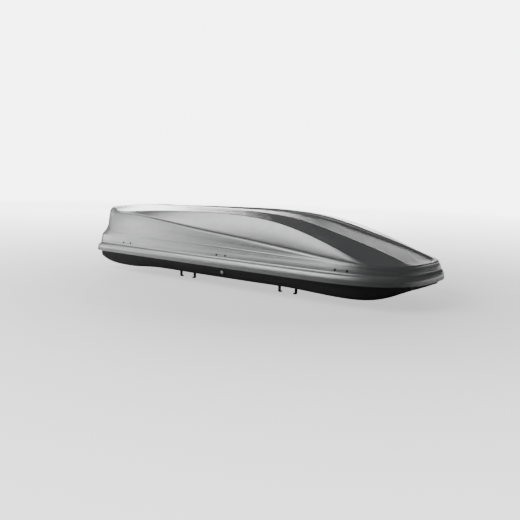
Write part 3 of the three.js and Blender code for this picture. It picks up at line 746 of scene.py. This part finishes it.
def side_frame(x, z, s):
    """Frame on the lid's side: local x along the wall, y up it, z outwards."""
    p = Vector((x, lid_side(x, z), z))
    ahead = Vector((x + 0.04, lid_side(x + 0.04, z), z))
    behind = Vector((x - 0.04, lid_side(x - 0.04, z), z))
    t = (ahead - behind).normalized()
    rise = (Vector((x, lid_side(x, z + 0.01), z + 0.01)) - p).normalized()
    n = rise.cross(t).normalized()
    u = t.cross(n).normalized()
    placed = Matrix(((t.x, u.x, n.x, p.x), (t.y, u.y, n.y, p.y), (t.z, u.z, n.z, p.z),
                     (0, 0, 0, 1)))
    if s < 0:
        placed = Matrix.Scale(-1, 4, (0, 1, 0)) @ placed
    return placed


# shank, thin washer and domed head with a small dimple: radius, height over the wall
RIVET = [(0, -0.0072), (0.0028, -0.0072), (0.0028, -0.0002), (0.0060, -0.0002),
         (0.0063, 0.0002), (0.0061, 0.0007), (0.0054, 0.0010), (0.0053, 0.0014),
         (0.0049, 0.0022), (0.0040, 0.0029), (0.0028, 0.0033), (0.0016, 0.0034),
         (0.0012, 0.0029), (0, 0.0028)]


def lathe_pair(bm, x, s, profile, n):
    """The profile at both rivet places of one bracket."""
    for e in (-1, 1):
        place = side_frame(x, RIVET_Z, s) @ at(e * RIVET_PITCH / 2, 0, 0)
        bm_lathe(bm, profile, n, place)


def rivet_pair(bm, x, s, bracket_t):
    """Two rivets and the backing strip inside the wall, behind a bracket bracket_t thick."""
    lathe_pair(bm, x, s, RIVET, 32)
    strip_z = -SHELL_T - bracket_t - 0.0054
    bm_rounded(bm, -0.037, 0.037, -0.0055, 0.0055, 0.0, 0.002, radius=0.0006, segments=2,
               profile=0.0, matrix=side_frame(x, RIVET_Z, s) @ at(0, 0, strip_z))


for side, s in SIDES:
    for end, x in BRACKET_X.items():
        mesh = mesh_from("rivets", rivet_pair, x, s, 0.0025 if end == "front" else 0.001)
        rivets = add(f"rivets_{side}_{end}", mesh, "rivet_black")
        settle(rivets, 40, "lid", f"rivet_strip_{side}_{end}")


def rivet_holes(bm):
    hole = [(0, -0.012), (0.0034, -0.012), (0.0034, 0.004), (0, 0.004)]
    for _, s in SIDES:
        for x in BRACKET_X.values():
            lathe_pair(bm, x, s, hole, 20)


boolean(lid, "DIFFERENCE", rivet_holes)
settle(lid, 50, "lid", "lid_shell")

# ------------------------------------------------------------------ moulded saddles on the tray
SADDLE_OUTER, SADDLE_INNER = 0.008, 0.0045      # radii about the pin


def pin_arc(radius, start, sweep, steps):
    """Points (y, z) round the pin; angles in degrees."""
    angles = [math.radians(start + sweep * k / steps) for k in range(steps + 1)]
    return [(PIVOT_Y + radius * math.cos(a), PIVOT_Z + radius * math.sin(a)) for a in angles]


def saddle(bm, x0, x1, s):
    """U shaped ear with an open top, from the wall out to the pin."""
    wall = min(left_side(tray_wall, x, beyond=200)[0] for x in (x0, x1)) - 0.002
    outline = [
        *pin_arc(SADDLE_OUTER, 180, 180, 18),
        (PIVOT_Y + SADDLE_OUTER, PIVOT_Z + 0.0022),
        (PIVOT_Y + 0.0046, PIVOT_Z + 0.0048),
        *pin_arc(SADDLE_INNER, 0, -180, 16),
        (PIVOT_Y - 0.0046, PIVOT_Z + 0.004),
        (wall, PIVOT_Z + 0.004),
        (wall, PIVOT_Z - 0.0075),
        (PIVOT_Y - 0.0079, PIVOT_Z - 0.0075)]
    near, far = [[bm.verts.new((x, s * y, z)) for y, z in outline] for x in (x0, x1)]
    n = len(outline)
    for i in range(n):
        j = (i + 1) % n
        bm.faces.new((near[i], near[j], far[j], far[i]))
    bm.faces.new(near)
    bm.faces.new(far)


def saddles(bm):
    for s in (-1, 1):
        for x in TONGUE_X:
            saddle(bm, x - 0.019, x - 0.012, s)
            saddle(bm, x + 0.013, x + 0.024, s)


settle(add("pin_saddles", mesh_from("saddles", saddles), "base_plastic"),
       30, "base")
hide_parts("base_shell")

# ------------------------------------------------------------------ frame pieces: finish, edges
EDGE_WIDTH = {"arm_black": 0.0009, "housing_plastic": 0.0015, "pad_rubber": 0.0014}
SLOT_OF = {part["node"]: part["material_slot"] for part in frame["record"]["subparts"]}
for name, obj in NODES.items():
    obj.data.materials.clear()
    obj.data.materials.append(MATERIALS[SLOT_OF[name]])
    edge = obj.modifiers.new("edge", "BEVEL")
    edge.width = EDGE_WIDTH.get(SLOT_OF[name], 0.0005)
    edge.segments = 2 if edge.width < 0.001 else 3
    edge.limit_method = "ANGLE"
    edge.angle_limit = math.radians(50)
    shade(obj, 46)

# ------------------------------------------------------------------ key cylinders
# radius, distance outwards from the inner end
KEY_PROFILE = [(0, 0), (0.009, 0), (0.009, 0.0372), (0.0087, 0.0378), (0.0080, 0.0380),
               (0.0074, 0.0379), (0.0071, 0.0381), (0.0062, 0.0387), (0.0050, 0.0392),
               (0.0036, 0.0396), (0.0018, 0.0399), (0, 0.0400)]


def key_body(bm, s):
    turn = Z_TO_Y if s > 0 else Z_TO_Y @ Matrix.Rotation(math.pi, 4, "X")
    bm_lathe(bm, KEY_PROFILE, 48, at(LOCK_X, s * 0.312, LOCK_Z, turn))


def key_slot(bm, s):
    bm_box(bm, LOCK_X - 0.0046, LOCK_X + 0.0046, *sorted((s * 0.346, s * 0.353)),
           LOCK_Z - 0.0008, LOCK_Z + 0.0008)


def key_cam(bm, s):
    """Flat tongue on the inner end, reaching up."""
    bm_box(bm, LOCK_X - 0.005, LOCK_X + 0.005, *sorted((s * 0.3098, s * 0.3136)),
           LOCK_Z - 0.003, LOCK_Z + 0.0155)


for side, s in SIDES:
    key = add(f"key_cylinder_{side}", mesh_from("key", key_body, s), "lock_chrome")
    boolean(key, "DIFFERENCE", key_slot, s)
    boolean(key, "UNION", key_cam, s)
    settle(key, 40, f"lock_cylinder_{side}", f"lock_cylinder_{side}")

# ------------------------------------------------------------------ clamp knobs
# in mm: round hub, and three lobe circles centred LOBE_OFFSET from the axis
HUB_RADIUS, LOBE_RADIUS, LOBE_OFFSET = 21.6, 9, 19
# share of the outline's radius, height in mm, from the underside up to the dished centre
KNOB = [(0.90, 28.8), (0.96, 29.3), (0.99, 30.4), (1.0, 32.0), (1.0, 37.6), (0.995, 39.6),
        (0.97, 41.4), (0.93, 42.7), (0.87, 43.5), (0.80, 43.8), (0.66, 43.9), (0.60, 43.7),
        (0.575, 43.1), (0.565, 41.9), (0.55, 41.3), (0.30, 41.1)]
KNOB_STEM = [(0, 0.0182), (0.0079, 0.0182), (0.0079, 0.0292), (0, 0.0292)]
KNOB_CAP = [(0, 0.0405), (0.0098, 0.0405), (0.0098, 0.0422), (0.0094, 0.0427),
            (0.0086, 0.0430), (0, 0.0432)]


def knob_radius(angle):
    """Outline in metres: lobes blended into the hub, with fine grip ribs on the lobes."""
    reach = 0.0
    for k in range(3):
        off = angle - k * 2 * math.pi / 3
        sine = math.sin(off)
        if math.cos(off) > 0 and abs(sine) < LOBE_RADIUS / LOBE_OFFSET:
            chord = math.sqrt(LOBE_RADIUS ** 2 - LOBE_OFFSET ** 2 * sine * sine)
            reach = max(reach, LOBE_OFFSET * math.cos(off) + chord)
    blend = 16
    r = (HUB_RADIUS ** blend + reach ** blend) ** (1 / blend)
    lobe = max(0.0, (r - 22.0) / 6.0)
    rib = 0.22 * lobe * (0.5 + 0.5 * math.cos(angle * 54))
    return (r - 0.12 - rib) / 1000


def knob(bm, cx, cy):
    n = 216
    rings = []
    for share, h in KNOB:
        # the lobes fade into a plain circle towards the dished centre
        lobed = min(1.0, max(0.0, (share - 0.55) / 0.35)) if h > 43.0 or share < 0.7 else 1.0
        ring = []
        for k in range(n):
            a = 2 * math.pi * k / n
            r = share * (lobed * knob_radius(a) + (1 - lobed) * HUB_RADIUS / 1000)
            ring.append(bm.verts.new((cx + r * math.cos(a), cy + r * math.sin(a), h / 1000)))
        rings.append(ring)
    for a, b in zip(rings, rings[1:]):
        for k in range(n):
            j = (k + 1) % n
            bm.faces.new((a[k], a[j], b[j], b[k]))
    bm.faces.new(rings[0][::-1])
    bm.faces.new(rings[-1])
    bm_lathe(bm, KNOB_STEM, 36, at(cx, cy, 0))
    bm_lathe(bm, KNOB_CAP, 48, at(cx, cy, 0))


for end, x in BARS_X.items():
    for side, s in SIDES:
        tag = f"{side}_{end}"
        obj = add(f"knob_{tag}", mesh_from("knob", knob, x, s * CLAMP_Y), "knob_red")
        settle(obj, 34, f"clamp_knob_{tag}", f"clamp_knob_{tag}")

# ------------------------------------------------------------------ load straps and buckles
WEB_T = 0.00125
# across the webbing: share of its half width, share of its thickness (raised selvages)
WEB_SECTION = [(-1.0, 0.30), (-0.985, 0.85), (-0.94, 1.12), (-0.88, 1.10), (-0.80, 1.0),
               (-0.5, 1.0), (-0.2, 1.0), (0.2, 1.0), (0.5, 1.0), (0.80, 1.0), (0.88, 1.10),
               (0.94, 1.12), (0.985, 0.85), (1.0, 0.30)]

# runs of one strap: (y, z) points, step, half width, what is added to the seed of its slack
STRAP_RUNS = [
    # lower run from wall to wall
    ([(-0.270, 0.0054), (-0.060, 0.0054), (-0.026, 0.0054), (0.0, 0.0054), (0.060, 0.0054),
      (0.270, 0.0054)], 0.003, 0.0124, 0),
    # over the buckle's middle bar
    ([(-0.0165, 0.0072), (-0.0125, 0.0098), (-0.0075, 0.0148), (0.0, 0.0160),
      (0.0075, 0.0148), (0.0125, 0.0098), (0.0165, 0.0072)], 0.0008, 0.0121, 1),
    # loose tail on the lower run, and its folded end
    ([(0.0165, 0.0072), (0.030, 0.0069), (0.080, 0.0078), (0.125, 0.0069), (0.168, 0.0068)],
     0.003, 0.0121, 2),
    ([(0.146, 0.0083), (0.157, 0.0082), (0.168, 0.0081)], 0.003, 0.0120, 3),
    # sewn hems at the two wall ends
    *[([(e * 0.230, 0.0067), (e * 0.250, 0.0067), (e * 0.270, 0.0067)], 0.003, 0.0122, 4)
      for e in (-1, 1)],
]
# stitch rows: y, z of the thread's underside, half length
STITCH_ROWS = [(e * y, 0.0072, 0.0100) for e in (-1, 1) for y in (0.234, 0.242, 0.262)]
STITCH_ROWS += [(y, 0.0087, 0.0098) for y in (0.150, 0.163)]


def smooth_path(points, step):
    """Eases z between the points."""
    path = []
    for (ya, za), (yb, zb) in zip(points, points[1:]):
        n = max(2, int(abs(yb - ya) / step))
        for i in range(n):
            f = i / n
            path.append((ya + (yb - ya) * f, za + (zb - za) * (f * f * (3 - 2 * f))))
    path.append(points[-1])
    return path


def ribbon(bm, path, half, seed):
    """Webbing along path [(y, z)], with a little slack across and along."""
    top, low = [], []
    for i, (y, z) in enumerate(path):
        before = path[max(0, i - 1)]
        after = path[min(len(path) - 1, i + 1)]
        tangent = Vector((0, after[0] - before[0], after[1] - before[1])).normalized()
        normal = Vector((0, -tangent.z, tangent.y))
        if normal.z < 0:
            normal = -normal
        drift = 0.00035 * math.sin(y * 17 + seed) + 0.0002 * math.sin(y * 41 + seed * 2)
        row_top, row_low = [], []
        for u, lift in WEB_SECTION:
            wave = 0.00010 * math.sin(y * 55 + seed + u * 1.3) * (1 - u * u * 0.3)
            p = Vector((half * u + drift, y, z + wave))
            row_top.append(bm.verts.new(p + normal * WEB_T / 2 * lift))
            row_low.append(bm.verts.new(p - normal * WEB_T / 2 * lift))
        top.append(row_top)
        low.append(row_low)
    m = len(WEB_SECTION)
    for i in range(len(path) - 1):
        for j in range(m - 1):
            bm.faces.new((top[i][j], top[i + 1][j], top[i + 1][j + 1], top[i][j + 1]))
            bm.faces.new((low[i][j], low[i][j + 1], low[i + 1][j + 1], low[i + 1][j]))
        for j in (0, m - 1):
            bm.faces.new((top[i][j], low[i][j], low[i + 1][j], top[i + 1][j]))
    for i in (0, len(path) - 1):
        for j in range(m - 1):
            bm.faces.new((top[i][j], top[i][j + 1], low[i][j + 1], low[i][j]))


def stitches(bm, y, z, half):
    """A row of short raised threads across the strap."""
    x0, x1 = -half, half
    n = max(1, int((x1 - x0) / 0.0026))
    for i in range(n):
        cx = x0 + (x1 - x0) * (i + 0.5) / n
        bm_rounded(bm, cx - 0.0009, cx + 0.0009, y - 0.00028, y + 0.00028, z, z + 0.0004,
                   radius=0.00012, segments=1)


def strap(bm, x, seed):
    part = bmesh.new()
    for points, step, half, extra in STRAP_RUNS:
        ribbon(part, smooth_path(points, step), half, seed + extra)
    for y, z, half in STITCH_ROWS:
        stitches(part, y, z, half)
    part.transform(Matrix.Translation((x, 0, 0)))
    bm_merge(bm, part)


# cross bars of the buckle: y0, y1, z0, z1
BUCKLE_BARS = [(-0.0238, -0.0160, 0.0078, 0.0136), (0.0160 + 0.0012, 0.0238, 0.0088, 0.0142),
               (-0.0052, 0.0052, 0.0086, 0.0146)]


def buckle(bm, x):
    for e in (-1, 1):
        x0, x1 = sorted((e * 0.0127, e * 0.0169))
        bm_rounded(bm, x + x0, x + x1, -0.0238, 0.0238, 0.0067, 0.0146, radius=0.0014)
    for bar in BUCKLE_BARS:
        bm_rounded(bm, x - 0.0140, x + 0.0140, *bar, radius=0.0018)
    # grip ribs on the bar at +y
    for k in range(4):
        bm_rounded(bm, x - 0.0095, x + 0.0095, 0.0184 + k * 0.0013, 0.0190 + k * 0.0013,
                   0.0138, 0.01475, radius=0.0002, segments=1)


for i, (end, x) in enumerate(STRAP_X.items()):
    obj = add(f"strap_{end}", mesh_from("strap", strap, x, 0.7 + i * 2.1), "webbing")
    settle(obj, 50, "base", f"load_strap_{end}")
    obj = add(f"buckle_{end}", mesh_from("buckle", buckle, x), "housing_plastic")
    settle(obj, 40, "base", f"strap_buckle_{end}")

# ------------------------------------------------------------------ stage
BACKDROP = 6.0                          # brightness of the backdrop as the camera sees it


def floor_material():
    """Matt near the box, brightening outwards; the glow is mostly for camera rays."""
    made, sh = material("floor")
    vec = sh.coords()
    seen = sh.node("LightPath").outputs["Is Camera Ray"]
    mottle = sh.remap(sh.noise(vec, scale=3), source=(0.3, 0.7), target=(0, 1))
    pale = sh.mix(mottle, (0.70,) * 3, (0.73,) * 3)
    # behind the box, towards +y, other rays see part of the glow too
    y = sh.node("SeparateXYZ", {0: vec}).outputs["Y"]
    seen = sh.math("MAXIMUM", seen, sh.remap(y, source=(1.0, 2.0), target=(0.0, 0.55)))
    radius = sh.node("VectorMath", {0: vec}, operation="LENGTH").outputs["Value"]
    fade = sh.remap(radius, source=(2.5, 6.0), target=(0, 1))
    pale = sh.mix(fade, pale, (0.0,) * 3)
    glow = sh.remap(radius, source=(1.0, 8.0), target=(0.8, BACKDROP))
    sh.surface({
        "Base Color": sh.mix(seen, (0.20,) * 3, pale),
        "Roughness": 0.8,
        "Specular IOR Level": 0.1,
        "Emission Color": (1, 1, 1),
        "Emission Strength": sh.math("MULTIPLY", seen, glow)})
    return made


def floor():
    z = CAD_BOX[0][2] - 0.0004
    n, half = 8, 60.0
    ticks = [-half + 2 * half * i / n for i in range(n + 1)]
    m = n + 1
    faces = [(j * m + i, j * m + i + 1, (j + 1) * m + i + 1, (j + 1) * m + i)
             for j in range(n) for i in range(n)]
    mesh = bpy.data.meshes.new("floor")
    mesh.from_pydata([(x, y, z) for y in ticks for x in ticks], [], faces)
    mesh.materials.append(floor_material())
    obj = bpy.data.objects.new("floor", mesh)
    bpy.context.scene.collection.objects.link(obj)


floor()

# ------------------------------------------------------------------ light
LIGHT_TARGET = Vector((0, 0, 0.25))
# name, direction from the target, distance, width, height, power
LIGHTS = [
    ("near_panel", (-0.57, -0.69, 0.78), 5.0, 4.0, 2.9, 158),
    ("near_low", (-0.86, -0.50, 0.12), 5.5, 2.6, 1.3, 60),
    ("far_tall", (-0.24, 0.90, 0.15), 6.0, 2.0, 1.9, 42),
    ("far_rear", (-5.34, 3.12, 1.70), 6.4, 2.4, 1.1, 112),
    ("far_low", (-0.72, 0.70, 0.076), 6.0, 6.0, 1.29, 358),
]
for name, direction, distance, width, height, power in LIGHTS:
    light = bpy.data.lights.new(name, "AREA")
    light.energy = power
    light.shape = "RECTANGLE"
    light.size = width
    light.size_y = height
    obj = bpy.data.objects.new(name, light)
    bpy.context.scene.collection.objects.link(obj)
    obj.location = LIGHT_TARGET + Vector(direction).normalized() * distance
    obj.rotation_euler = (LIGHT_TARGET - obj.location).to_track_quat("-Z", "Y").to_euler()


def studio_world():
    """Dim cool fill for the box, bright white for the camera."""
    world = bpy.data.worlds.new("studio")
    bpy.context.scene.world = world
    world.use_nodes = True
    sh = Shader(world.node_tree)
    fill = world.node_tree.nodes["Background"]
    sh.put(fill.inputs["Color"], (0.95, 0.97, 1.0))
    sh.put(fill.inputs["Strength"], 0.09)
    seen = sh.node("Background", {"Color": (1, 1, 1), "Strength": BACKDROP})
    path = sh.node("LightPath")
    mixed = sh.node("MixShader", {0: path.outputs["Is Camera Ray"], 1: fill.outputs[0],
                                  2: seen.outputs[0]})
    sh.put(world.node_tree.nodes["World Output"].inputs[0], mixed.outputs[0])


studio_world()

# ------------------------------------------------------------------ camera
AZIMUTH, ELEVATION, ROLL = 0.635501, 0.134103, 0.031506     # radians
CAMERA_AT = Vector((2.32759 - MID / 1000, -3.17952, 0.60433))   # metres at the tables' scale
forward = Vector((-math.sin(AZIMUTH) * math.cos(ELEVATION),
                  math.cos(AZIMUTH) * math.cos(ELEVATION), -math.sin(ELEVATION)))
level = forward.cross(Vector((0, 0, 1))).normalized()
upright = level.cross(forward)
r = level * math.cos(ROLL) + upright * math.sin(ROLL)
u = -level * math.sin(ROLL) + upright * math.cos(ROLL)
b = -forward
c = CAMERA_AT * SCALE + SHIFT
lens = bpy.data.cameras.new("camera")
lens.sensor_width = 36
lens.lens = 48.5868462
camera = bpy.data.objects.new("camera", lens)
bpy.context.scene.collection.objects.link(camera)
camera.matrix_world = Matrix(((r.x, u.x, b.x, c.x), (r.y, u.y, b.y, c.y),
                              (r.z, u.z, b.z, c.z), (0, 0, 0, 1)))
bpy.context.scene.camera = camera

bpy.context.view_layer.update()
